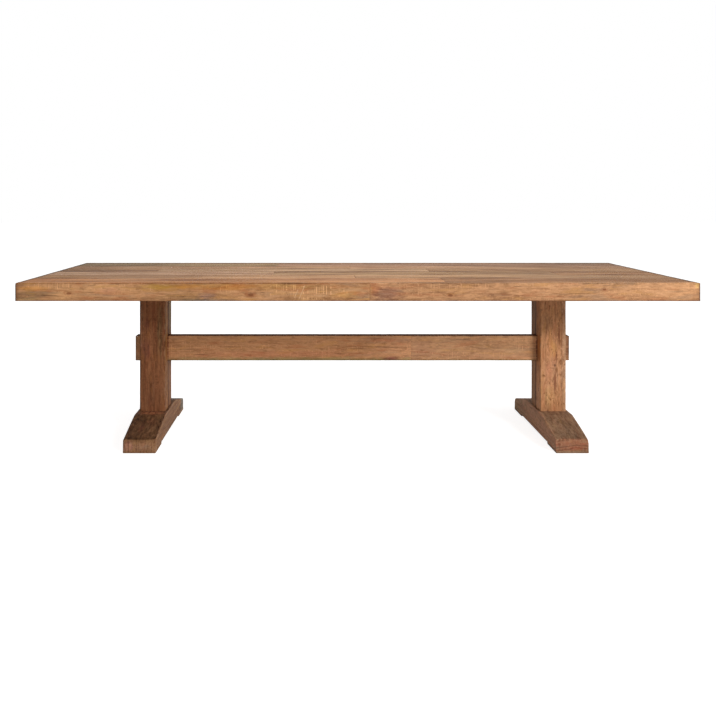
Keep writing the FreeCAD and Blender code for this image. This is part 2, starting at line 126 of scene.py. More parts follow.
# -------------------- node trees
class Tree:
    """Short calls that build the node tree of a material or a world and hand back sockets."""

    def __init__(self, owner):
        owner.use_nodes = True
        self.owner = owner
        self.nodes = owner.node_tree.nodes
        self.links = owner.node_tree.links

    def put(self, socket, value):
        """Links value into socket, or sets it there if it is a constant."""
        if isinstance(value, bpy.types.NodeSocket):
            self.links.new(value, socket)
        else:
            socket.default_value = value

    def node(self, kind, inputs=(), **settings):
        """New node with its settings and its inputs, which are (name or number, value) pairs."""
        made = self.nodes.new(kind)
        for key, value in settings.items():
            setattr(made, key, value)
        for key, value in inputs:
            self.put(made.inputs[key], value)
        return made

    def math(self, operation, *values):
        return self.node("ShaderNodeMath", enumerate(values), operation=operation).outputs[0]

    def times(self, value, other):
        return self.math("MULTIPLY", value, other)

    def vector(self, operation, *values):
        made = self.node("ShaderNodeVectorMath", enumerate(values), operation=operation)
        return made.outputs["Value" if operation in ("LENGTH", "DOT_PRODUCT") else "Vector"]

    def combine(self, *parts):
        return self.node("ShaderNodeCombineXYZ", enumerate(parts)).outputs[0]

    def noise(self, place, scale=1.0, detail=2.0, rough=0.5, distortion=0.0, colour=False):
        made = self.node("ShaderNodeTexNoise", [("Vector", place), ("Scale", scale),
                                                ("Detail", detail), ("Roughness", rough),
                                                ("Distortion", distortion)])
        return made.outputs["Color" if colour else "Fac"]

    def line_noise(self, place, scale, detail=2.0):
        """Noise along one number."""
        made = self.node("ShaderNodeTexNoise", [("W", place), ("Scale", scale),
                                                ("Detail", detail)], noise_dimensions="1D")
        return made.outputs["Fac"]

    def step(self, value, low, high, bottom=0.0, top=1.0):
        """Smooth step of value from low to high, between bottom and top."""
        made = self.node("ShaderNodeMapRange", [("Value", value), ("From Min", low),
                                                ("From Max", high), ("To Min", bottom),
                                                ("To Max", top)], interpolation_type="SMOOTHSTEP")
        return made.outputs[0]

    def mix(self, factor, under, over, blend):
        made = self.node("ShaderNodeMix", [(0, factor), (6, under), (7, over)],
                         data_type="RGBA", blend_type=blend)
        return made.outputs[2]

    def ramp(self, value, stops):
        made = self.node("ShaderNodeValToRGB", [(0, value)])
        band = made.color_ramp
        while len(band.elements) < len(stops):
            band.elements.new(0.5)
        for element, (place, colour) in zip(band.elements, stops):
            element.position = place
            element.color = colour
        return made.outputs[0]

    def attribute(self, name):
        return self.node("ShaderNodeAttribute", attribute_name=name).outputs["Fac"]

    def seen(self):
        """1 for what the camera sees, straight, in a gloss or through glass, and 0 for light."""
        path = self.node("ShaderNodeLightPath").outputs
        seen = self.math("MAXIMUM", path["Is Camera Ray"], path["Is Glossy Ray"])
        return self.math("MAXIMUM", seen, path["Is Transmission Ray"])

    @property
    def shader(self):
        return self.nodes["Principled BSDF"].inputs

    def finish(self, colour, rough, height, strength, distance):
        """Colour, roughness and bumps of the material."""
        bump = self.node("ShaderNodeBump", [("Strength", strength), ("Distance", distance),
                                            ("Height", height)])
        self.put(self.shader["Base Color"], colour)
        self.put(self.shader["Roughness"], rough)
        self.put(self.shader["Normal"], bump.outputs[0])


# -------------------- teak
TABLE_END = CAD_BOUNDS[1].x
GRAIN_ORDER = {"X": "XYZ", "Y": "YXZ", "Z": "ZXY"}
GREY = linear(148, 122, 100)
SOOT = linear(52, 34, 24)
# Colour of the darker upper faces: soil on the feet, painted shade on the stretcher.
SOIL_AND_SHADE = linear(60, 34, 19)
RUST = linear(98, 54, 31)
PALE = linear(212, 168, 126)
RINGS = 110.0  # growth rings in a metre, about
SAW_LINES = 165.0  # saw marks in a metre, about
# Scales along and across the grain, offset, detail, roughness and distortion of each noise, and
# whether it follows the wandering grain.
NOISES = {
    "cloud": (2.4, 12, 0, 3, 0.55, 0, False),  # broad bands of tone
    "vein": (1.6, 27, 71, 2, 0.5, 0, True),
    "streak": (3.4, 62, 7, 3, 0.62, 0, True),
    "fleck": (26, 120, 37, 3, 0.62, 0, True),
    "fibre": (14, 420, 3, 3, 0.6, 0, True),
    "fine": (40, 1500, 5, 2, 0.6, 0, True),
    "blot": (34, 80, 11, 4, 0.65, 0.5, False),
    "patch": (3.6, 26, 17, 4, 0.6, 0.4, False),
    "hue": (8, 46, 41, 3, 0.6, 0, True),
    "dash": (60, 280, 53, 2, 0.5, 0, True),  # short pale marks
    "sawn": (24, 75, 67, 1, 0.5, 0, False),
    "pore": (85, 1900, 23, 1, 0.5, 0, True),
    "check": (3, 190, 43, 2, 0.5, 0, True),  # long hairlines from drying
    "chafe": (30, 60, 29, 3, 0.6, 0, False),
    "grime": (7, 40, 31, 3, 0.6, 0, False),
    "clean": (1.5, 9, 61, 1, 0.5, 0, False),  # where joints hold less dirt
}


def scaled(colour, red, green, blue):
    """Linear colour times a number for each part."""
    scales = (red, green, blue)
    return (*(min(1.0, part * scale) for part, scale in zip(colour, scales)), 1.0)


class Board(Tree):
    """Node tree of one board: its grain, its noises, and its colour so far."""

    def __init__(self, name, grain, tone, seed, knots):
        super().__init__(bpy.data.materials.new(name))
        self.seed = seed
        self.place = self.node("ShaderNodeTexCoord").outputs["Object"]
        self.parts = self.node("ShaderNodeSeparateXYZ", [(0, self.place)]).outputs
        self.along, across, deep = (self.parts[axis] for axis in GRAIN_ORDER[grain])
        self.ordered = self.combine(self.along, across, deep)
        self.shifted = self.vector("ADD", self.ordered, (seed * 3.17, seed * 1.31, seed * 0.73))
        self.base = linear(*tone)
        self.dark = scaled(self.base, 0.46, 0.4, 0.36)
        self.light = scaled(self.base, 1.42, 1.48, 1.55)
        self.fields = {}
        self.bend_grain(knots, "XYZ".index(grain))

    def bend_grain(self, knots, grain_axis):
        """Lets the grain wander, and run round the knots."""
        drift = self.noise(self.vector("MULTIPLY", self.shifted, (1.3, 8, 8)), colour=True)
        drift = self.vector("SUBTRACT", drift, (0.5, 0.5, 0.5))
        self.wander = self.vector("MULTIPLY", drift, (0.0, 0.045, 0.045))
        self.pull, self.core = 0.0, 0.0
        for centre, radius in knots:
            reach = [radius * 1.5] * 3
            reach[grain_axis] = radius * 3.2
            away = self.away(centre, reach)
            self.pull = self.math("MAXIMUM", self.step(away, 1.0, 0.25), self.pull)
            self.core = self.math("MAXIMUM", self.step(away, 0.42, 0.22), self.core)
        if knots:
            push = self.times(self.pull, 0.012)
            self.wander = self.vector("ADD", self.wander, self.combine(0.0, push, push))
        self.warped = self.vector("ADD", self.shifted, self.wander)

    def away(self, centre, reach):
        """Distance from a centre, as a part of the reach along each axis."""
        gap = self.vector("SUBTRACT", self.place, centre)
        return self.vector("LENGTH", self.vector("DIVIDE", gap, reach))

    def field(self, name, shift=0.0):
        """One of the noises, made once for the board."""
        if name not in self.fields:
            along, across, offset, *kind, follows = NOISES[name]
            drawn = self.vector("MULTIPLY", self.warped if follows else self.shifted,
                                (along, across, across))
            offset += shift
            moved = self.vector("ADD", drawn, (offset, offset * 0.7, offset * 1.9))
            self.fields[name] = self.noise(moved, 1.0, *kind)
        return self.fields[name]

    def step_of(self, name, low, high, bottom=0.0, top=1.0):
        return self.step(self.field(name), low, high, bottom, top)

    def centred(self, name, weight, total=0.0):
        """Total plus a weight times a noise about zero."""
        about_zero = self.math("SUBTRACT", self.field(name), 0.5)
        return self.math("MULTIPLY_ADD", about_zero, weight, total)

    def tint(self, over, *factors, blend="MIX"):
        """Lays a colour over the board's colour so far, by the product of the factors."""
        self.colour = self.mix(reduce(self.times, factors), self.colour, over, blend)

    def late_wood(self, pith):
        """Growth rings: shells about a pith that lies outside the board and drifts along it."""
        seed = self.seed
        pith = pith or ((seed * 0.37) % 1 * 0.1 - 0.05, -0.05 - (seed * 0.61) % 1 * 0.09)
        from_pith = self.vector("ADD", self.ordered, self.wander)
        from_pith = self.vector("SUBTRACT", from_pith, (0.0, *pith))
        shell = self.vector("LENGTH", self.vector("MULTIPLY", from_pith, (0.0, 1.0, 1.0)))
        shell = self.math("MULTIPLY_ADD", self.along, 0.016, shell)
        return self.step(self.line_noise(shell, RINGS), 0.52, 0.66)

    def draw_figure(self, late, contrast, bands, streaks, flecks, veins):
        """Figure of the wood, from dark to light."""
        self.field("cloud", self.seed * 0.3)
        figure = 0.53
        for name, weight in (("cloud", bands), ("streak", streaks), ("fleck", flecks),
                             ("fibre", 0.4), ("fine", 0.22)):
            figure = self.centred(name, weight * contrast, figure)
        if veins:
            figure = self.centred("vein", veins, figure)
        figure = self.math("MULTIPLY_ADD", late, -0.12 * contrast, figure)
        self.colour = self.ramp(figure, [(0.0, self.dark), (0.5, self.base), (1.0, self.light)])

    def vary_tone(self, grey, red, ochre, mottle, dashes):
        """Patches, blots and dashes of other tones."""
        for name, low, high, strength, over in (
                ("patch", 0.53, 0.68, grey, GREY),
                ("hue", 0.53, 0.68, red, scaled(self.base, 0.86, 0.62, 0.56)),
                ("hue", 0.46, 0.32, ochre, scaled(self.base, 1.12, 1.1, 0.8)),
                ("blot", 0.55, 0.67, mottle, self.dark),
                ("blot", 0.45, 0.33, mottle * 0.6, self.light),
                ("dash", 0.62, 0.72, dashes, scaled(self.light, 1.25, 1.2, 1.1))):
            self.tint(over, self.step_of(name, low, high, 0.0, strength))

    def saw_marks(self, kerfs, strength):
        """Fine ridges across the grain, in patches and near the kerfs."""
        bent = self.math("MULTIPLY_ADD", self.field("streak"), 0.004, self.along)
        where = self.step_of("patch", 0.5, 0.42)
        for centre, reach in kerfs:
            away = self.centred("blot", 1.6, self.away(centre, reach))
            where = self.math("MAXIMUM", where, self.step(away, 1.1, 0.6))
        where = self.times(where, self.step_of("sawn", 0.44, 0.54))
        sawn = self.times(self.step(self.line_noise(bent, SAW_LINES, 0.0), 0.54, 0.66), where)
        self.tint(self.light, sawn, strength)
        return sawn

    def darken_knots(self):
        self.tint(scaled(self.base, 0.62, 0.4, 0.33), self.pull, 0.38)
        self.tint(scaled(self.base, 0.34, 0.22, 0.18), self.core, 0.7)

    def chafe_and_soil(self, dirt, dirt_colour, patchy):
        """Pale arrises and dirty joints, where the mesh says so."""
        worn = self.times(self.attribute("wear"), self.step_of("chafe", 0.42, 0.6))
        self.tint(PALE, worn, 0.3)
        grime = self.times(self.attribute("seam"), self.step_of("grime", 0.3, 0.6, 0.35, 1.0))
        if patchy:
            grime = self.times(grime, self.step_of("clean", 0.42, 0.56, 1 - patchy, 1.0))
        self.tint(dirt_colour, grime, dirt)
        return worn

    def end_grain(self, facing, late, ends):
        """End grain is darker, since it drinks the wax, and shows more of its rings."""
        end = self.step(self.math("ABSOLUTE", facing), 0.8, 0.95)
        self.tint(self.dark, end, ends)
        self.tint(SOOT, late, 0.3, end)
        return end

    def dirty_rim(self, rim, end):
        """Hands leave dirt round the ends of the top."""
        near = self.centred("fleck", rim * 1.3, self.math("ABSOLUTE", self.parts["X"]))
        near = self.centred("patch", rim * 1.6, self.centred("streak", rim * 1.2, near))
        near = self.step(near, TABLE_END - rim, TABLE_END - rim * 0.2, 0.0, 0.8)
        self.tint(scaled(self.base, 0.17, 0.17, 0.2), near, self.math("SUBTRACT", 1.0, end))

    def soil_and_shade_on_tops(self, upward, worn, soil_and_shade):
        """Darker upper faces: soil from shoes and mops on the feet, and painted shade under the
        table top on the stretcher.
        """
        uneven = self.centred("patch", 1.3, self.centred("blot", 0.8, soil_and_shade))
        self.tint(SOIL_AND_SHADE, self.step(upward, 0.55, 0.8),
                  self.step_of("fleck", 0.25, 0.6, 1.0, 0.72),
                  self.math("MULTIPLY_ADD", worn, -0.7, 1.0), uneven)

    def stain_and_painted_light(self, centre, reach, shade, strength):
        """Spot with a broken edge, where the base tone turns into a shade. Most spots are stains;
        a few are painted shadow, shade and highlight.
        """
        away = self.centred("fleck", 1.1, self.away(centre, reach))
        away = self.centred("blot", 1.2, self.centred("streak", 0.8, away))
        over = tuple(part / under for part, under in zip(linear(*shade)[:3], self.base)) + (1.0,)
        self.tint(over, self.step(away, 1.15, 0.25), strength, blend="MULTIPLY")

    def scratch(self, scratches):
        """Pale straight lines in a face, from a start to a stop."""
        scored = 0.0
        for start, stop in scratches:
            line = Vector(stop) - Vector(start)
            sideways = tuple(line.cross((0, 1, 0)).normalized())
            gap = self.vector("SUBTRACT", self.place, start)
            side = self.centred("fleck", 2.0 * MM, self.vector("DOT_PRODUCT", gap, sideways))
            side = self.step(self.math("ABSOLUTE", side), 2.8 * MM, 1.0 * MM)
            part = self.vector("DOT_PRODUCT", gap, tuple(line / line.length_squared))
            part = self.math("ABSOLUTE", self.math("SUBTRACT", part, 0.5))
            cover = self.times(side, self.step(part, 0.52, 0.4))
            scored = self.math("MAXIMUM", cover, scored)
        if scratches:
            self.tint(PALE, scored, 0.75)
        return scored

    def total(self, start, *terms):
        """Start plus the (value, weight) terms."""
        for value, weight in terms:
            start = self.math("MULTIPLY_ADD", value, weight, start)
        return start


def teak(name, grain, tone, seed, contrast=1.0, grey=0.3, red=0.3, ochre=0.3, mottle=0.45,
         saw=0.3, dirt=0.7, dirt_colour=SOOT, run=None, bands=0.9, streaks=0.95, flecks=0.9,
         dashes=0.2, veins=0.0, soil_and_shade=0.0, gloss=0.08, pith=None, knots=(), spots=(), kerfs=(),
         scratches=(), patchy=0.0, ends=0.25, rim=0.0):
    """Reclaimed teak for one board: grain along one axis, and a base tone from an sRGB colour.

    Run gives the tone's factor at both ends, pith the middle of the growth rings, and rim the
    width of the dirt at the ends of the table. Knots, spots, kerfs and scratches are marks with a
    place on the board. The other numbers say how strong each trait is."""
    board = Board(name, grain, tone, seed, knots)
    late = board.late_wood(pith)
    board.draw_figure(late, contrast, bands, streaks, flecks, veins)
    board.vary_tone(grey, red, ochre, mottle, dashes)
    if run:
        low, high = (corner["XYZ".index(grain)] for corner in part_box(name))
        fade = board.step(board.along, low, high, *run)
        board.tint(board.combine(fade, fade, fade), 1.0, blend="MULTIPLY")
    sawn = board.saw_marks(kerfs, saw)
    pore, check = board.step_of("pore", 0.66, 0.74), board.step_of("check", 0.685, 0.715)
    board.tint(board.dark, pore, 0.45)
    board.tint(SOOT, check, 0.5)
    if knots:
        board.darken_knots()
    worn = board.chafe_and_soil(dirt, dirt_colour, patchy)
    normal = board.node("ShaderNodeNewGeometry").outputs["True Normal"]
    facings = board.node("ShaderNodeSeparateXYZ", [(0, normal)]).outputs
    end = board.end_grain(facings[grain], late, ends)
    if rim:
        board.dirty_rim(rim, end)
    if soil_and_shade:
        board.soil_and_shade_on_tops(facings["Z"], worn, soil_and_shade)
    for spot in spots:
        board.stain_and_painted_light(*spot)
    scored = board.scratch(scratches)
    fibre, fine, blot = (board.field(field) for field in ("fibre", "fine", "blot"))
    rough = board.total(0.58, (fibre, 0.2), (worn, -0.12), (end, 0.12), (sawn, 0.1))
    height = board.total(board.times(late, -0.22), (fibre, 0.55), (fine, 0.2), (pore, -0.45),
                         (check, -1.6), (sawn, 0.55 * saw), (blot, 0.3), (scored, -0.6))
    board.finish(board.colour, rough, height, 0.55, 1.1 * MM)
    board.shader["Specular IOR Level"].default_value = gloss
    return board.owner


def zinc():
    """Zinc-plated steel: cloudy, with faint turning marks."""
    tree = Tree(bpy.data.materials.new("zinc_plate"))
    place = tree.node("ShaderNodeTexCoord").outputs["Object"]
    spangle = tree.noise(place, 240.0, 3.0, 0.6, 0.6)
    colour = tree.ramp(spangle, [(0.3, linear(150, 148, 138)), (0.6, linear(196, 195, 188)),
                                 (0.9, linear(214, 208, 188))])
    tree.finish(colour, tree.math("MULTIPLY_ADD", spangle, 0.24, 0.24),
                tree.noise(place, 1900.0, 2.0, 0.6), 0.25, 0.2 * MM)
    tree.shader["Metallic"].default_value = 1.0
    return tree.owner


# -------------------- worn meshes
def smooth_noise(points, seed):
    """Smooth noise from -1 to 1 at points given in cells."""
    cell = np.floor(points).astype(np.int64)
    part = points - cell
    part = part * part * (3 - 2 * part)
    total = np.zeros(len(points))
    for corner in product((0, 1), repeat=3):
        x, y, z = (cell + corner).T
        mixed = (x * 73856093) ^ (y * 19349663) ^ (z * 83492791) ^ (seed * 40503 + 12345)
        mixed = ((mixed ^ (mixed >> 13)) * 1274126177) & 0xFFFFFFFF
        value = ((mixed ^ (mixed >> 15)) & 0xFFFF) / 32767.5 - 1
        share = np.ones(len(points))
        for axis, far in enumerate(corner):
            share = share * (part[:, axis] if far else 1 - part[:, axis])
        total += share * value
    return total


def cut_places(low, high, near_low, near_high, spacing):
    """Places of the cuts across one axis: close together at both ends and even between."""
    places = [low + gap for gap in near_low] + [high - gap for gap in near_high]
    start = low + max(near_low, default=0.0)
    stop = high - max(near_high, default=0.0)
    count = max(1, round((stop - start) / spacing))
    places += [start + (stop - start) * step / count for step in range(count + 1)]
    return sorted(set(round(place, 7) for place in places if low + 1e-5 < place < high - 1e-5))


def cut_across(bm, axis, places):
    """Cuts a mesh with parallel planes, each cut working only on what lies beyond the last."""
    normal = Vector((0, 0, 0))
    normal[axis] = 1.0
    rest = list(bm.faces)
    for place in places:
        edges = {edge for face in rest for edge in face.edges}
        verts = {vert for face in rest for vert in face.verts}
        point = Vector((0, 0, 0))
        point[axis] = place
        found = bmesh.ops.bisect_plane(bm, geom=list(verts) + list(edges) + rest, dist=1e-6,
                                       plane_co=point, plane_no=normal)
        rest = [part for part in found["geom"] if isinstance(part, bmesh.types.BMFace)
                and part.calc_center_median()[axis] > place]


def outline_side(points, outline, up):
    """Distance of points inside a bent top or bottom, and its outward normals."""
    ys, zs = (np.array(values) for values in zip(*outline))
    step = 1e-4
    height = np.interp(points[:, 1], ys, zs)
    slope = (np.interp(points[:, 1] + step, ys, zs) - np.interp(points[:, 1] - step, ys, zs))
    slope /= 2 * step
    lean = 1 / np.sqrt(1 + slope ** 2)
    normals = np.stack([np.zeros(len(points)), -slope * lean, lean], axis=1) * up
    return (height - points[:, 2]) * up * lean, normals


def side_planes(points, low, high, sides, outline):
    """(distance inside, normals, kind, axis) of every side of a piece that gets worn."""
    planes = []
    for key, kind in sides.items():
        axis, up = "xyz".index(key[0]), 1 if key[1] == "+" else -1
        if outline and axis == 2 and outline[0] == up:
            gap, normals = outline_side(points, outline[1], up)
        else:
            limit = high[axis] if up > 0 else low[axis]
            gap = (limit - points[:, axis]) * up
            normals = np.zeros_like(points)
            normals[:, axis] = up
        planes.append((gap, normals, kind, axis))
    return planes


def grain_noise(points, grain_axis, along, across, seed):
    """Smooth noise, with its cells in a metre along and across the grain."""
    cells = np.full(3, across)
    cells[grain_axis] = along
    return smooth_noise(points * cells, seed)


def worn_points(points, planes, seed, grain_axis, radius_scale, end_scale):
    """Points moved inwards to a worn surface, with how worn and how dirty each one is."""
    run = points[:, grain_axis]
    from_end = np.minimum(run - run.min(), run.max() - run)
    end_growth = 1 + (end_scale - 1) * np.clip(1 - from_end / END_WEAR, 0, 1)
    swell = grain_noise(points, grain_axis, 14.0, 55.0, seed)
    chips = np.clip(smooth_noise(points * 48.0, seed + 7) - CHIP_FROM, 0, 1) / (1 - CHIP_FROM)
    moved = points.copy()
    worn, seam = np.zeros(len(points)), np.zeros(len(points))
    for (gap_a, out_a, kind_a, axis_a), (gap_b, out_b, kind_b, axis_b) in combinations(planes, 2):
        if axis_a == axis_b:
            continue
        radius = min(SIDE_KINDS[kind_a][0], SIDE_KINDS[kind_b][0]) * radius_scale
        if 2 in (axis_a, axis_b):
            radius = radius * end_growth
        open_arris = kind_a in OUTSIDE and kind_b in OUTSIDE
        chip = CHIP_DEPTH * chips * radius_scale if open_arris else 0
        radius = radius * (1 + SWELL * swell) + chip
        far_a, far_b = np.maximum(0, radius - gap_a), np.maximum(0, radius - gap_b)
        reach = np.hypot(far_a, far_b)
        excess = np.where((far_a > 0) & (far_b > 0), np.maximum(0, reach - radius), 0)
        away = (far_a[:, None] * out_a + far_b[:, None] * out_b) / np.maximum(reach, 1e-9)[:, None]
        moved -= away * excess[:, None]
        from_arris = np.maximum(gap_a, gap_b)
        underneath = min(out_a[:, 2].min(), out_b[:, 2].min()) < -0.5
        reach = max(SIDE_KINDS[kind_a][1], SIDE_KINDS[kind_b][1], UNDER_DARKENING if underneath else 0)
        if kind_a == kind_b == "open" and not underneath:
            worn = np.maximum(worn, np.clip(1 - from_arris / WEAR_REACH, 0, 1) ** 2)
        elif reach and "tight" not in (kind_a, kind_b):
            seam = np.maximum(seam, np.clip(1 - from_arris / reach, 0, 1) ** 1.3)
    dip = FACE_WAVE * (0.5 + 0.5 * grain_noise(points, grain_axis, 4.5, 16.0, seed + 13))
    for gap, out, kind, _ in planes:
        if kind in OUTSIDE:
            moved -= out * np.where(gap < ON_FACE, dip, 0)[:, None]
    return moved, worn, seam


def add_object(name, data):
    made = bpy.data.objects.new(name, data)
    bpy.context.collection.objects.link(made)
    return made


def stand_in(node, mesh, material, slot):
    """Object with a finished mesh, which stands for a CAD node."""
    mesh.shade_smooth()
    mesh.set_sharp_from_angle(angle=SMOOTH_ANGLE)
    mesh.update()
    mesh.materials.append(material)
    piece = add_object(mesh.name, mesh)
    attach(piece, "root")
    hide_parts(node)


def worn_piece(node, material, slot, grain, sides, seed, spacing=0.01, side_spacing=0.028,
               outline=None, radius_scale=1.0, end_scale=1.0, drop=0.0):
    """Copy of a CAD node with a finer, worn surface, which stands for that node."""
    low, high = (np.array(corner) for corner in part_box(node))
    bm = bmesh.new()
    bm.from_mesh(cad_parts[node].data)
    bmesh.ops.remove_doubles(bm, verts=bm.verts, dist=1e-5)
    bmesh.ops.dissolve_limit(bm, angle_limit=math.radians(0.5), verts=bm.verts, edges=bm.edges)
    grain_axis = "XYZ".index(grain)
    for axis in sorted(range(3), key=lambda axis: axis == grain_axis):
        gap = spacing if axis == grain_axis else side_spacing
        letter = "xyz"[axis]
        near = [SIDE_KINDS[sides.get(letter + way)][2] for way in "-+"]
        cut_across(bm, axis, cut_places(low[axis], high[axis], *near, gap))
    mesh = bpy.data.meshes.new(f"{node}_worn")
    bm.to_mesh(mesh)
    bm.free()
    points = np.zeros(len(mesh.vertices) * 3)
    mesh.vertices.foreach_get("co", points)
    points = points.reshape(-1, 3)
    planes = side_planes(points, low, high, sides, outline)
    moved, worn, seam = worn_points(points, planes, seed, grain_axis, radius_scale, end_scale)
    moved[:, 2] -= drop * np.clip((points[:, 2] - low[2]) / (high[2] - low[2]), 0, 1)
    mesh.vertices.foreach_set("co", moved.ravel())
    for key, values in (("wear", worn), ("seam", seam)):
        layer = mesh.attributes.new(key, "FLOAT", "POINT")
        layer.data.foreach_set("value", values.astype(np.float32))
    stand_in(node, mesh, material, slot)


# -------------------- marks on the boards
TOP_FACE = ("Z", 772, 20)  # (axis, place, depth of the marks in mm) of a face
EDGE_FACE = ("Y", -500, 50)
EDGE_LINES = ("Y", -500, -500)  # the same face, for marks that start and stop in it
POST_FACE = ("Y", -77, 30)
LEFT_POST_SIDE = ("X", -899, 6)  # the sides that face the middle of the table
RIGHT_POST_SIDE = ("X", 899, 6)
FOOT_END = ("Y", -350, 20)
STRETCHER_FACE = ("Y", -27, 20)
LEFT_ENTRY = ("X", -896, 6)  # where the stretcher enters a post
RIGHT_ENTRY = ("X", 896, 6)


def mm(*numbers):
    """Point in metres from numbers in millimetres."""
    return tuple(number * MM for number in numbers)


def on_face(face, *marks):
    """Marks in a flat face. Each gives its place and its reach along the face in mm, and a
    coloured spot gives its shade and its strength after them."""
    axis, level, depth = face
    made = []
    for u, v, reach_u, reach_v, *look in marks:
        place, reach = [u, v], [reach_u, reach_v]
        place.insert("XYZ".index(axis), level)
        reach.insert("XYZ".index(axis), depth)
        made.append((mm(*place), mm(*reach), *look))
    return made


def rear_stains(end):
    """Dark rear edge, and a greyer stretch at one end of the table."""
    return [(mm(0, 500, 772), mm(2200, 50, 12), (96, 70, 53), 0.85),
            (mm(end, 490, 772), mm(600, 60, 14), (112, 92, 74), 0.8)]
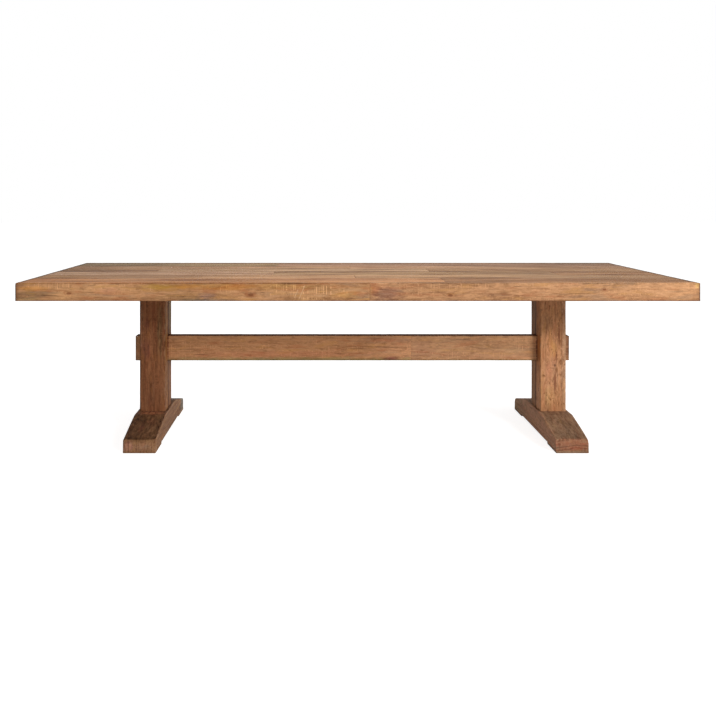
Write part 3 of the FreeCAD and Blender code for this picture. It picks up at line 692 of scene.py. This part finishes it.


# Painted shade all round the stretcher where it enters a post.
ENTRY_SHADE = (0, 402, 80, 140, (112, 62, 42), 0.85)
STAINS_AND_PAINTED_LIGHT = {  # stains, with painted shadow, shade and highlight on the right post and the stretcher; those of the rows are in ROWS
    "front_edge_board_left": on_face(
        EDGE_FACE,
        (-1375, 748, 85, 14, (218, 150, 78), 0.55), (-1380, 722, 100, 22, (150, 114, 82), 0.7),
        (-1440, 766, 40, 16, (156, 112, 82), 0.85), (-1250, 722, 70, 24, (214, 160, 110), 0.5),
        (-1030, 730, 130, 14, (174, 122, 80), 0.75), (-710, 758, 90, 18, (207, 142, 88), 0.7),
        (-285, 708, 55, 16, (160, 114, 78), 0.7), (-500, 758, 400, 18, (187, 136, 84), 0.8),
        (-1130, 716, 200, 12, (202, 148, 102), 0.6), (-1395, 701, 70, 14, (192, 156, 110), 0.6),
        (-1110, 760, 230, 38, (206, 153, 107), 0.75), (-1060, 735, 80, 20, (190, 128, 100), 0.4),
        (-710, 735, 270, 70, (169, 122, 82), 0.8), (-170, 740, 240, 65, (205, 154, 107), 0.8),
        (-850, 757, 90, 14, (190, 144, 74), 0.55), (-640, 716, 45, 20, (150, 112, 100), 0.6),
        (-540, 752, 110, 16, (206, 134, 72), 0.5), (-745, 708, 140, 20, (166, 122, 84), 0.8),
        (-665, 699, 130, 9, (146, 122, 96), 0.65), (-50, 722, 70, 18, (206, 148, 84), 0.5),
    ) + [
        (mm(-900, -478, 773), mm(700, 50, 4), (170, 116, 75), 0.9),
        (mm(-560, -500, 771), mm(420, 30, 6), (124, 74, 48), 0.3),
        (mm(-280, -500, 771), mm(80, 20, 7), (110, 74, 50), 0.6),
    ],
    "front_edge_board_right": on_face(
        EDGE_FACE,
        (74, 745, 26, 30, (176, 104, 64), 0.55), (126, 725, 80, 34, (144, 104, 88), 0.6),
        (400, 772, 330, 6, (118, 84, 60), 0.6), (610, 722, 90, 20, (150, 104, 72), 0.4),
        (1390, 735, 120, 50, (198, 144, 98), 0.35), (1436, 760, 12, 12, (220, 180, 104), 0.45),
        (1451, 725, 6, 50, (110, 84, 76), 0.7),
    ) + [(mm(860, -480, 773), mm(1200, 50, 5), (158, 116, 82), 0.9)],
    "rear_edge_board_left": rear_stains(-1450),
    "rear_edge_board_right": rear_stains(1450),
    "left_post_front_stave": on_face(
        POST_FACE,
        (-1018, 560, 18, 160, (176, 126, 92), 0.7), (-985, 530, 20, 40, (108, 60, 48), 0.5),
        (-990, 410, 26, 60, (124, 74, 62), 0.5), (-925, 500, 14, 160, (132, 104, 68), 0.5),
        (-960, 460, 60, 70, (148, 96, 64), 0.7), (-960, 200, 60, 80, (132, 84, 56), 0.6),
    ) + on_face(
        LEFT_POST_SIDE,
        (-40, 500, 40, 450, (196, 140, 88), 0.8), (-40, 370, 60, 170, (122, 76, 48), 0.9),
        (-40, 120, 60, 60, (162, 106, 70), 0.8),
    ),
    "left_post_rear_stave": on_face(LEFT_POST_SIDE, (45, 580, 45, 130, (178, 156, 120), 0.8)),
    "left_foot": on_face(
        FOOT_END,
        (-1008, 32, 24, 30, (190, 130, 108), 0.5), (-960, 14, 120, 44, (184, 138, 105), 0.9),
    ) + [
        (mm(-960, -106, 110), mm(80, 34, 20), (250, 168, 122), 0.75),
        (mm(-940, -200, 98), mm(30, 40, 20), (190, 122, 92), 0.3),
        (mm(-971, -250, 83), mm(14, 50, 20), (200, 130, 104), 0.45),
        (mm(-960, -350, 60), mm(120, 30, 20), (126, 88, 58), 0.85),
        (mm(-887, -50, 50), mm(10, 450, 120), (135, 97, 70), 0.85),
        (mm(-887, 320, 60), mm(12, 80, 100), (142, 136, 122), 0.9),
    ],
    "right_post_front_stave": on_face(
        POST_FACE,
        # The first mark is a painted highlight, with some wear, down the post's right arris; the
        # second is the table top's shadow, painted on the front.
        (1026, 400, 32, 600, (208, 161, 125), 0.85), (925, 530, 45, 45, (161, 114, 80), 0.8),
        (960, 420, 50, 80, (208, 145, 102), 0.6), (965, 405, 18, 50, (206, 150, 84), 0.5),
        (950, 300, 60, 100, (205, 150, 112), 0.7), (940, 310, 20, 60, (178, 112, 78), 0.5),
        (960, 130, 70, 45, (178, 124, 84), 0.7), (968, 330, 6, 8, (90, 56, 40), 0.7),
        (989, 480, 5, 65, (124, 72, 50), 0.7), (976, 370, 4, 50, (120, 70, 48), 0.7),
        (969, 250, 6, 60, (130, 76, 52), 0.7), (940, 180, 30, 60, (212, 164, 110), 0.5),
    ) + on_face(
        RIGHT_POST_SIDE,
        (-40, 510, 50, 400, (176, 115, 68), 0.9), (-40, 200, 40, 180, (228, 170, 134), 0.75),
    ),
    "right_foot": on_face(
        FOOT_END,
        (960, 35, 110, 60, (168, 110, 82), 0.75), (977, 24, 44, 9, (172, 112, 86), 0.5),
        (1004, 40, 20, 9, (172, 112, 88), 0.4), (900, 40, 12, 10, (110, 66, 48), 0.7),
    ) + [(mm(887, -100, 50), mm(10, 450, 120), (195, 146, 116), 0.9)],
    "stretcher_left_length": on_face(
        STRETCHER_FACE,
        (-250, 342, 1000, 20, (150, 128, 82), 0.9), (-360, 372, 520, 22, (184, 121, 87), 0.6),
        (250, 405, 190, 90, (209, 152, 110), 0.9), (190, 352, 50, 14, (134, 72, 66), 0.75),
    ) + on_face(LEFT_ENTRY, ENTRY_SHADE) + [
        (mm(-1045, -27, 402), mm(30, 60, 90), (218, 164, 122), 0.75),
    ],
    "stretcher_right_length": on_face(
        STRETCHER_FACE,
        (620, 342, 420, 8, (166, 140, 86), 0.7), (780, 385, 60, 16, (216, 172, 126), 0.4),
        (660, 447, 500, 22, (217, 163, 119), 0.7), (340, 402, 80, 90, (189, 139, 103), 0.9),
        (660, 370, 500, 24, (189, 139, 103), 0.7),
    ) + on_face(RIGHT_ENTRY, ENTRY_SHADE) + [
        (mm(1045, 0, 402), mm(30, 80, 140), (160, 113, 84), 0.95),
    ],
}


# -------------------- rows of the top
ROWS = (  # (row and place, tone, drop in mm, grey, red, run, stains)
    ("1_left", (172, 123, 85), 0.25, 0.25, 0.3, (0.88, 1.12),
     (-1400, -387, 300, 90, (168, 114, 73), 0.8)),
    ("1_right", (148, 108, 76), 0.1, 0.2, 0.4, (1.12, 0.88),
     (1400, -387, 400, 90, (142, 101, 69), 0.8),
     (420, -440, 400, 30, (130, 95, 66), 0.8)),
    ("2_left", (165, 125, 91), 0.35, 0.35, 0.25, (0.76, 1.22),
     (-1400, -243, 300, 100, (161, 118, 79), 0.8)),
    ("2_right", (163, 126, 93), 0.2, 0.3, 0.3, (1.3, 0.74),
     (540, -262, 80, 16, (214, 178, 132), 0.7),
     (1400, -243, 400, 100, (158, 119, 86), 0.8)),
    ("3_left", (176, 139, 110), 0.15, 0.3, 0.2, (0.83, 1.17),
     (-440, -50, 70, 26, (226, 192, 150), 0.6)),
    ("3_middle", (161, 126, 93), 0.4, 0.35, 0.25, (1.08, 0.92),
     (50, -150, 100, 16, (206, 168, 122), 0.6),
     (100, -4, 480, 30, (104, 74, 52), 0.6)),
    ("3_right", (146, 108, 77), 0.1, 0.25, 0.3, (1.01, 0.99)),
    ("4_left", (143, 107, 76), 0.3, 0.3, 0.3, (0.78, 1.24),
     (-1020, 50, 330, 34, (86, 62, 46), 0.6)),
    ("4_middle", (173, 137, 105), 0.12, 0.3, 0.2, (0.97, 1.03),
     (-230, 4, 150, 30, (96, 70, 50), 0.7),
     (150, 4, 230, 26, (112, 82, 60), 0.6)),
    ("4_right", (158, 121, 89), 0.35, 0.3, 0.35, (1.1, 0.9),
     (480, 4, 170, 26, (104, 76, 56), 0.6)),
    ("5_left", (163, 125, 94), 0.2, 0.35, 0.25, (0.82, 1.18)),
    ("5_right", (170, 131, 101), 0.3, 0.25, 0.35, (1.18, 0.82)),
    ("6_left", (147, 121, 90), 0.1, 0.4, 0.25, (0.7, 1.28),
     (-1140, 450, 300, 30, (119, 105, 78), 0.9)),
    ("6_right", (153, 118, 94), 0.25, 0.3, 0.3, (1.16, 0.84),
     (1270, 450, 200, 30, (123, 102, 81), 0.9)),
)


def end_kinds(node):
    """Dirty rim at a table end and tight elsewhere, for both ends of a piece along X."""
    low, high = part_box(node)
    return {key: "rim" if abs(abs(place) - TABLE_END) < MM else "tight"
            for key, place in (("x-", low.x), ("x+", high.x))}


for seed, (place, tone, drop, grey, red, run, *stains) in enumerate(ROWS, 1):
    node, row = f"plank_row{place}", int(place[0])
    front = "wide" if row == 4 else "joint" if row > 4 else "seam"
    rear = "wide" if row == 3 else "joint" if row > 3 else "seam"
    wood = teak(node, "X", tone, seed, grey=grey, red=red, run=run, mottle=0.3, saw=0.15,
                bands=1.9, streaks=1.2, veins=1.7, patchy=0.75, gloss=0.1, dirt=0.95, rim=0.026,
                spots=on_face(TOP_FACE, *stains))
    sides = {"y-": front, "y+": rear, "z+": "open", **end_kinds(node)}
    worn_piece(node, wood, "top_wood", "X", sides, seed, side_spacing=0.03, drop=drop * MM)


# -------------------- edge boards
EDGES = {  # node: (kind of its upper side, looks)
    "front_edge_board_left": ("line", dict(
        tone=(187, 136, 94), seed=21, saw=0.75, run=(0.97, 0.99),
        knots=[(mm(-1222, -500, 728), 10 * MM), (mm(-453, -500, 722), 12 * MM)],
        scratches=on_face(EDGE_LINES, (-249, 702, -223, 764), (-268, 708, -252, 745)),
        kerfs=on_face(EDGE_FACE, (-600, 755, 75, 15), (-215, 732, 200, 34)))),
    "front_edge_board_right": ("open", dict(
        tone=(188, 138, 98), seed=22, saw=0.5, ochre=0.55, red=0.45, flecks=1.3, dashes=0.55,
        mottle=0.28, run=(0.95, 1.0),
        knots=[(mm(392, -500, 720), 10 * MM), (mm(1044, -500, 744), 8 * MM)],
        kerfs=on_face(EDGE_FACE, (300, 755, 140, 15), (1170, 735, 90, 24)))),
    "rear_edge_board_left": ("dark", dict(
        tone=(176, 128, 90), seed=23, saw=0.75, run=(1.05, 0.95))),
    "rear_edge_board_right": ("dark", dict(
        tone=(170, 122, 84), seed=24, saw=0.75, run=(0.95, 1.05))),
}
for node, (top, looks) in EDGES.items():
    front = node.startswith("front")
    outer, inner = ("y-", "y+") if front else ("y+", "y-")
    looks = dict(red=0.55, ochre=0.75, flecks=1.0, mottle=0.4) | looks
    wood = teak(node, "X", contrast=1.15, grey=0.4, streaks=0.6, dirt=0.9, rim=0.007,
                dirt_colour=RUST if front else SOOT, spots=STAINS_AND_PAINTED_LIGHT[node], **looks)
    sides = {outer: "open", inner: "seam", "z+": top, "z-": "open", **end_kinds(node)}
    worn_piece(node, wood, "edge_wood", "X", sides, looks["seed"], spacing=0.008,
               side_spacing=0.024, radius_scale=0.85)


# -------------------- end rails and battens
for name, seed, outer, inner in (("left", 31, "x-", "x+"), ("right", 32, "x+", "x-")):
    node = f"{name}_end_rail"
    worn_piece(node, teak(node, "Y", (160, 114, 78), seed, saw=0.5), "underframe_wood", "Y",
               {outer: "open", inner: "tight", "z-": "open"}, seed, spacing=0.012)
for name, seed in (("left", 33), ("middle", 34), ("right", 35)):
    node = f"{name}_batten"
    worn_piece(node, teak(node, "Y", (148, 104, 72), seed, saw=0.6), "underframe_wood", "Y",
               dict.fromkeys(("x-", "x+", "y-", "y+", "z-"), "open"), seed, spacing=0.016)


# -------------------- trestles
FOOT_OUTLINE = (1, [(-0.35, 0.06), (-0.135, 0.11), (0.135, 0.11), (0.35, 0.06)])
HEAD_OUTLINE = (-1, [(-0.43, 0.697), (-0.135, 0.667), (0.135, 0.667), (0.43, 0.697)])
TRESTLES = {
    "left": dict(
        slot="dark_post_wood", seed=41, sides={"x-": "dark", "x+": "open"},
        # The front's run darkens the left post towards the bottom: painted shade.
        front=dict(tone=(139, 89, 58), run=(0.8, 1.08), streaks=0.95, mottle=0.6,
                   kerfs=on_face(POST_FACE, (-912, 250, 11, 60))),
        rear=dict(tone=(142, 98, 68), run=(0.92, 1.04)),
        foot=dict(tone=(166, 122, 86), pith=(-1.5, 0.05)), soil_and_shade=0.95),
    "right": dict(
        slot="light_post_wood", seed=51, sides={"x-": "open", "x+": "open"},
        front=dict(tone=(194, 138, 96), run=(0.92, 0.93), streaks=0.6, mottle=0.85,
                   kerfs=on_face(POST_FACE, (945, 330, 30, 50))),
        rear=dict(tone=(146, 107, 79), run=(1.36, 0.94)),
        foot=dict(tone=(158, 124, 96), pith=(0.96, -0.6)), soil_and_shade=0.26),
}
for name, trestle in TRESTLES.items():
    seed, slot, sides = trestle["seed"], trestle["slot"], trestle["sides"]
    node = f"{name}_post_front_stave"
    wood = teak(node, "Z", seed=seed, contrast=1.4, dirt=0.9, saw=0.35, grey=0.15, red=0.45,
                ochre=0.45, dashes=0.55, spots=STAINS_AND_PAINTED_LIGHT[node], **trestle["front"])
    worn_piece(node, wood, slot, "Z", {**sides, "y-": "open", "y+": "wide"}, seed, spacing=0.009)
    node = f"{name}_post_rear_stave"
    wood = teak(node, "Z", seed=seed + 1, contrast=1.1, dirt=0.9, saw=0.35, grey=0.25, red=0.25,
                spots=STAINS_AND_PAINTED_LIGHT.get(node, ()), **trestle["rear"])
    worn_piece(node, wood, slot, "Z", {**sides, "y-": "wide", "y+": "dark"}, seed + 1,
               spacing=0.009)
    sides = {**sides, "y-": "open", "y+": "open"}
    looks = dict(seed=seed + 2, contrast=1.2, mottle=0.5, grey=0.45, red=0.4, **trestle["foot"])
    node = f"{name}_foot"
    wood = teak(node, "Y", ochre=0.45, dashes=0.35, soil_and_shade=trestle["soil_and_shade"], spots=STAINS_AND_PAINTED_LIGHT[node],
                **looks)
    worn_piece(node, wood, "foot_wood", "Y", {**sides, "z+": "open", "z-": "tight"}, seed + 2,
               outline=FOOT_OUTLINE, spacing=0.008, radius_scale=1.1, end_scale=2.2)
    for place in ("front", "rear"):
        node = f"{name}_foot_{place}_pad"
        worn_piece(node, teak(node, "Y", **looks), "foot_wood", "Y",
                   {**sides, "z-": "open", "z+": "tight"}, seed + 4, radius_scale=0.6)
    node = f"{name}_head_bearer"
    worn_piece(node, teak(node, "Y", (146, 104, 74), seed + 6, saw=0.5), "underframe_wood", "Y",
               {**sides, "z-": "open"}, seed + 6, outline=HEAD_OUTLINE, spacing=0.012)


# -------------------- stretcher
STRETCHER = {  # node: (its outer end, tone, seed, saw marks)
    "stretcher_left_length": ("x-", (187, 134, 93), 61, on_face(
        STRETCHER_FACE, (-837, 410, 70, 40), (-186, 437, 30, 20))),
    "stretcher_right_length": ("x+", (201, 151, 110), 62, on_face(
        STRETCHER_FACE, (825, 420, 45, 30))),
}
for node, (outer, tone, seed, kerfs) in STRETCHER.items():
    # On the stretcher the darkened upper faces are painted shade under the table top.
    wood = teak(node, "X", tone, seed, contrast=0.88, mottle=0.42, saw=0.5, grey=0.25, red=0.5,
                ochre=0.45, streaks=0.4, dashes=0.45, soil_and_shade=0.78, gloss=0.03, ends=0.5,
                spots=STAINS_AND_PAINTED_LIGHT[node], kerfs=kerfs)
    sides = {outer: "dark", **dict.fromkeys(("y-", "y+", "z-", "z+"), "open")}
    worn_piece(node, wood, "stretcher_wood", "X", sides, seed, spacing=0.009, radius_scale=0.8)


# -------------------- pegs, screws and splines
TRESTLE_X = 0.96  # from the middle of the table to a post's
TURN = 24  # points round a screw
CROWN = 0.46  # radius of a head's flat crown, as a part of its width
CHAMFER_SLOPE = 0.48
BEARING = 0.48  # radius of the face under a head, as a part of its width
BEARING_STEP = 0.5 * MM
THREAD_SHARE = 0.6  # part of the shank that carries the thread
NECK_LENGTH = 1.2 * MM
RUN_UP = 0.3 * MM  # from the neck to the first turn
ROOT = 0.74  # radius between the threads, as a part of the shank's
THREAD_SHAPE = ((0.0, 0.0), (0.5, 0.0), (0.68, 1.0), (0.8, 1.0))  # (part of the pitch, height)
POINT_LENGTH = 9 * MM
POINT_RADIUS = 0.09  # as a part of the shank's radius


def screw_shape(radius, length, flats, head_height, pitch):
    """Points and faces of a wood screw: seat at z = 0, hexagon head below, thread above."""
    angles = [2 * math.pi * step / TURN for step in range(TURN)]
    points, faces = [], []

    def ring(radius_at, height_at):
        """Adds one ring of points and gives their numbers."""
        start = len(points)
        for angle in angles:
            far, height = radius_at(angle), height_at(angle)
            points.append((far * math.cos(angle), far * math.sin(angle), height))
        return list(range(start, start + TURN))

    def plain(far, height):
        return ring(lambda angle: far, lambda angle: height)

    def join(low, high, last=TURN):
        for step in range(last):
            after = (step + 1) % TURN
            faces.append((low[step], low[after], high[after], high[step]))

    def hexagon(angle):
        return flats / 2 / math.cos(angle % (math.pi / 3) - math.pi / 6)

    crown = CROWN * flats
    neck = length * (1 - THREAD_SHARE)
    rings = [
        plain(crown, -head_height),
        ring(hexagon, lambda angle: (hexagon(angle) - crown) * CHAMFER_SLOPE - head_height),
        ring(hexagon, lambda angle: -BEARING_STEP),
        plain(BEARING * flats, -BEARING_STEP),
        plain(BEARING * flats, 0.0),
        plain(radius, 0.0),
        plain(radius, neck),
        plain(radius * ROOT, neck + NECK_LENGTH),
    ]
    faces.append(tuple(reversed(rings[0])))
    for low, high in zip(rings, rings[1:]):
        join(low, high)

    start = neck + NECK_LENGTH + RUN_UP
    shape = len(THREAD_SHAPE)
    turns = int((length - NECK_LENGTH - start) / pitch) - 1
    helix = []
    for number in range(shape * turns + 1):
        part, crest = THREAD_SHAPE[number % shape]

        def height_at(angle):
            return start + pitch * (number // shape + part + angle / (2 * math.pi))

        def radius_at(angle):
            height = height_at(angle)
            grown = min(1.0, (height - start) / pitch)
            taper = POINT_RADIUS + (1 - POINT_RADIUS) * min(1.0, (length - height) / POINT_LENGTH)
            return radius * (ROOT + (1 - ROOT) * crest * grown) * taper

        helix.append(ring(radius_at, height_at))
    last = TURN - 1
    join(rings[-1], helix[0], last)
    faces.append((rings[-1][last], rings[-1][0], *(turn[0] for turn in helix[:shape + 1]),
                  helix[0][last]))
    for number, (low, high) in enumerate(zip(helix, helix[1:])):
        join(low, high, last)
        if number + 1 + shape < len(helix):
            faces.append((low[last], helix[number + shape][0], helix[number + 1 + shape][0],
                          high[last]))
    tip = plain(radius * POINT_RADIUS, length)
    join(helix[-1], tip, last)
    faces.append((helix[-1 - shape][last], helix[-1][0], tip[0], tip[last],
                  *(turn[last] for turn in reversed(helix[-shape:]))))
    faces.append(tuple(tip))
    return points, faces


def made_piece(node, material, slot, points, faces):
    """Piece from points and faces, which stands for a CAD node."""
    mesh = bpy.data.meshes.new(f"{node}_made")
    mesh.from_pydata(points, [], faces)
    stand_in(node, mesh, material, slot)


def screws(node, places, shape):
    """All screws of one node: places are (seat, direction), where 1 points up and -1 down."""
    all_points, all_faces = [], []
    points, faces = screw_shape(*shape)
    for (x, y, z), up in places:
        start = len(all_points)
        all_points += [(x + a, y + b * up, z + c * up) for a, b, c in points]
        all_faces += [tuple(start + number for number in face) for face in faces]
    made_piece(node, ZINC, "zinc_steel", all_points, all_faces)


PEG_SIDES = 12
PEG_RADIUS = 8 * MM
PEG_HEIGHT = 0.402
PEG_RINGS = (  # (place in mm along the peg, part of its radius, unevenness)
    (-52.0, 0.62, 0.00), (-50.5, 0.78, 0.03), (-44.0, 0.93, 0.05), (-36.0, 1.00, 0.04),
    (-10.0, 1.00, 0.05), (20.0, 1.00, 0.05), (50.0, 1.00, 0.04), (74.0, 1.00, 0.01),
    (76.0, 0.99, 0.01), (76.8, 0.93, 0.01), (77.0, 0.84, 0.01),
)


def shaved_pegs():
    """Pegs shaved to many flats, with a tapered nose and eased ends."""
    points, faces = [], []
    for side in (-1, 1):
        rings = []
        for place, part, uneven in PEG_RINGS:
            start = len(points)
            for corner in range(PEG_SIDES):
                angle = 2 * math.pi * corner / PEG_SIDES + 0.0025 * place * side
                chance = math.sin(corner * 12.9898 + place * 0.11 + side * 7.1)
                far = PEG_RADIUS * part * (1 - uneven * chance ** 2)
                points.append((side * TRESTLE_X + far * math.cos(angle), place * MM,
                               PEG_HEIGHT + far * math.sin(angle)))
            rings.append(list(range(start, start + PEG_SIDES)))
        for low, high in zip(rings, rings[1:]):
            for corner in range(PEG_SIDES):
                after = (corner + 1) % PEG_SIDES
                faces.append((low[corner], high[corner], high[after], low[after]))
        faces += [tuple(rings[0]), tuple(reversed(rings[-1]))]
    made_piece("stretcher_pegs", PEG_TEAK, "peg_wood", points, faces)


SPLINE_TEAK = teak("spline_hardwood", "X", (190, 160, 118), 71, grey=0.0, red=0.05)
PEG_TEAK = teak("peg_hardwood", "Y", (104, 68, 45), 72, grey=0.0, red=0.2)
ZINC = zinc()
SCREW_ROWS = (-0.3865, -0.243, 0.225, 0.375)
LAG_PLACES = [((x, y, z), up) for x in (-TRESTLE_X, TRESTLE_X) for y in (-0.025, 0.025)
              for z, up in ((0.02, 1), (0.732, -1))]
TOP_SCREW_PLACES = [((x, y, 0.712), 1) for x in (-TRESTLE_X, TRESTLE_X)
                    for y in SCREW_ROWS]
LAG_SHAPE = (5 * MM, 110 * MM, 17 * MM, 6 * MM, 4.5 * MM)  # radius, length, flats,
TOP_SCREW_SHAPE = (4 * MM, 48 * MM, 13 * MM, 5.5 * MM, 3.0 * MM)  # head height, pitch
screws("lag_screws", LAG_PLACES, LAG_SHAPE)
screws("top_screws", TOP_SCREW_PLACES, TOP_SCREW_SHAPE)
shaved_pegs()
for node in ("plank_splines", "edge_loose_tenons"):
    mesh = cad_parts[node].data
    mesh.materials.clear()
    mesh.materials.append(SPLINE_TEAK)


# -------------------- stage, light and camera
def area_light(name, place, aim, size, power):
    """Soft lamp that faces a point."""
    light = bpy.data.lights.new(name, "AREA")
    light.shape = "RECTANGLE"
    light.size, light.size_y = size
    light.energy = power
    lamp = add_object(name, light)
    lamp.location = place
    lamp.rotation_euler = (Vector(aim) - Vector(place)).to_track_quat("-Z", "Y").to_euler()


def floor():
    """Pale floor that looks white to the camera, keeps the table's soft shadow and can be seen
    through from below."""
    half = FLOOR_SIZE / 2
    mesh = bpy.data.meshes.new("floor")
    mesh.from_pydata([(-half, -half, 0), (half, -half, 0), (half, half, 0), (-half, half, 0)],
                     [], [(0, 1, 2, 3)])
    tree = Tree(bpy.data.materials.new("pale_floor"))
    tree.nodes.remove(tree.nodes["Principled BSDF"])
    diffuse = tree.node("ShaderNodeBsdfDiffuse", [("Color", FLOOR_COLOUR)]).outputs[0]
    glow = tree.node("ShaderNodeEmission", [("Strength", FLOOR_GLOW)]).outputs[0]
    dark = tree.node("ShaderNodeEmission", [("Strength", 0.0)]).outputs[0]
    glow = tree.node("ShaderNodeMixShader", [(0, tree.seen()), (1, dark), (2, glow)]).outputs[0]
    pale = tree.node("ShaderNodeAddShader", [(0, diffuse), (1, glow)]).outputs[0]
    clear = tree.node("ShaderNodeBsdfTransparent").outputs[0]
    below = tree.times(tree.node("ShaderNodeNewGeometry").outputs["Backfacing"],
                       tree.node("ShaderNodeLightPath").outputs["Is Camera Ray"])
    shown = tree.node("ShaderNodeMixShader", [(0, below), (1, pale), (2, clear)]).outputs[0]
    tree.put(tree.nodes["Material Output"].inputs["Surface"], shown)
    mesh.materials.append(tree.owner)
    add_object("floor", mesh)


def white_world():
    """World that lights the table softly and shows white behind it."""
    tree = Tree(bpy.data.worlds.new("studio"))
    level = tree.node("ShaderNodeMapRange", [("Value", tree.seen()), ("To Min", WORLD_LEVEL),
                                             ("To Max", 1.0)])
    back = tree.nodes["Background"].inputs
    tree.put(back["Color"], (1.0, 1.0, 1.0, 1.0))
    tree.put(back["Strength"], level.outputs[0])
    bpy.context.scene.world = tree.owner


def camera():
    data = bpy.data.cameras.new("camera")
    data.sensor_width = CAMERA_SENSOR
    data.lens = CAMERA_LENS
    data.shift_x, data.shift_y = CAMERA_SHIFT
    made = add_object("camera", data)
    made.location = CAMERA_PLACE
    made.rotation_euler = (math.radians(90), 0, 0)
    bpy.context.scene.camera = made


floor()
white_world()
area_light("key", KEY_PLACE, KEY_AIM, (KEY_SIZE, KEY_SIZE), KEY_POWER)
area_light("top", TOP_PLACE, (*TOP_PLACE[:2], 0.0), TOP_SIZE, TOP_POWER)
camera()
bpy.context.scene.view_settings.view_transform = "Standard"
